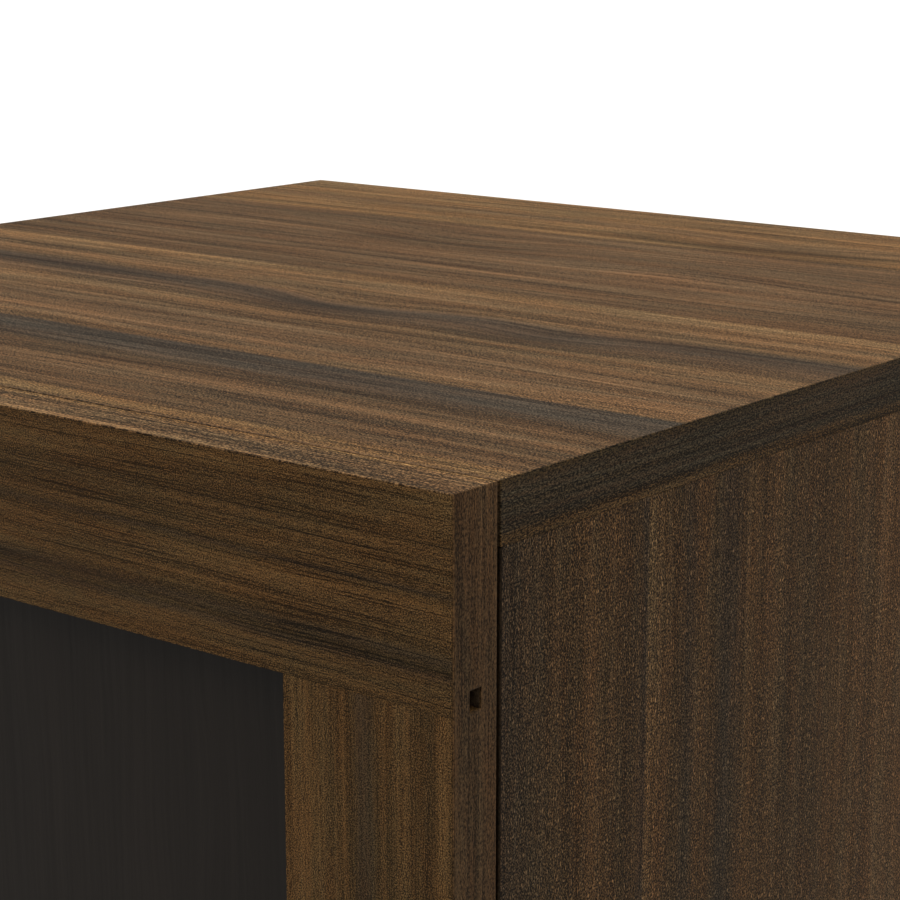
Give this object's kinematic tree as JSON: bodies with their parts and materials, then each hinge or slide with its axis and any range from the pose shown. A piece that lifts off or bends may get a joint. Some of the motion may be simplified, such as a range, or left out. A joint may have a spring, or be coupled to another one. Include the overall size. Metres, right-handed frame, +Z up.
{
  "type": "cube storage unit",
  "caption": "Box-shaped storage unit of brown wood-grain board with a framed, black-panelled front door on side hinges.",
  "frame": {"origin": "on the floor, under the middle of the outer box, which includes the hinge knuckles and the knob", "axes": "+X to the right seen from the front, -Y out of the door, +Z up"},
  "size_m": [0.405, 0.4262, 0.404],
  "materials": {
    "brown_wood_laminate": "satin printed wood grain on board",
    "brown_edge_band": "satin printed wood grain edge band",
    "black_wood_laminate": "satin black wood grain",
    "back_board": "thin hardboard with a matt printed face",
    "beech": "raw beech",
    "cast_zinc": "dull cast zinc",
    "bright_steel": "bright zinc-plated steel",
    "hinge_steel": "nickel-plated steel sheet",
    "brown_plastic": "moulded plastic",
    "grey_plastic": "moulded plastic",
    "clear_bumper": "soft translucent pad",
    "ferrite": "sintered ferrite",
    "black_metal": "black powder coat"
  },
  "bodies": {
    "carcass": {"back_panel": "back_board", "base_panel": "brown_wood_laminate", "base_panel_side_bands": "brown_edge_band", "cam_bolts": "bright_steel", "cam_covers": "brown_plastic", "cam_discs": "cast_zinc", "carcass_dowels": "beech", "carcass_front_bands": "brown_edge_band", "catch_case": "brown_plastic", "catch_magnet": "ferrite", "catch_pole_plates": "bright_steel", "catch_screws": "bright_steel", "floor_glides": "grey_plastic", "glide_nails": "bright_steel", "hinge_carcass_leaves": "hinge_steel", "hinge_carcass_screws": "bright_steel", "hinge_pins": "bright_steel", "side_panel_left": "brown_wood_laminate", "side_panel_right": "brown_wood_laminate", "top_panel": "brown_wood_laminate", "top_panel_side_bands": "brown_edge_band"},
    "door": {"catch_strike_plate": "hinge_steel", "catch_strike_screw": "bright_steel", "door_band_bottom": "brown_edge_band", "door_band_left": "brown_edge_band", "door_band_right": "brown_edge_band", "door_band_top": "brown_edge_band", "door_bottom_rail": "brown_wood_laminate", "door_bumpers": "clear_bumper", "door_corner_dowels": "beech", "door_panel": "black_wood_laminate", "door_stile_left": "brown_wood_laminate", "door_stile_right": "brown_wood_laminate", "door_top_rail": "brown_wood_laminate", "hinge_door_leaves": "hinge_steel", "hinge_door_screws": "bright_steel", "knob": "black_metal", "knob_screw": "bright_steel"}
  },
  "joints": [
    {"name": "door_swing", "type": "hinge", "parent": "carcass", "child": "door", "pos_m": [-0.20015, -0.1755, 0.204], "axis": [0, 0, -1], "range_deg": [0, 195]}
  ]
}
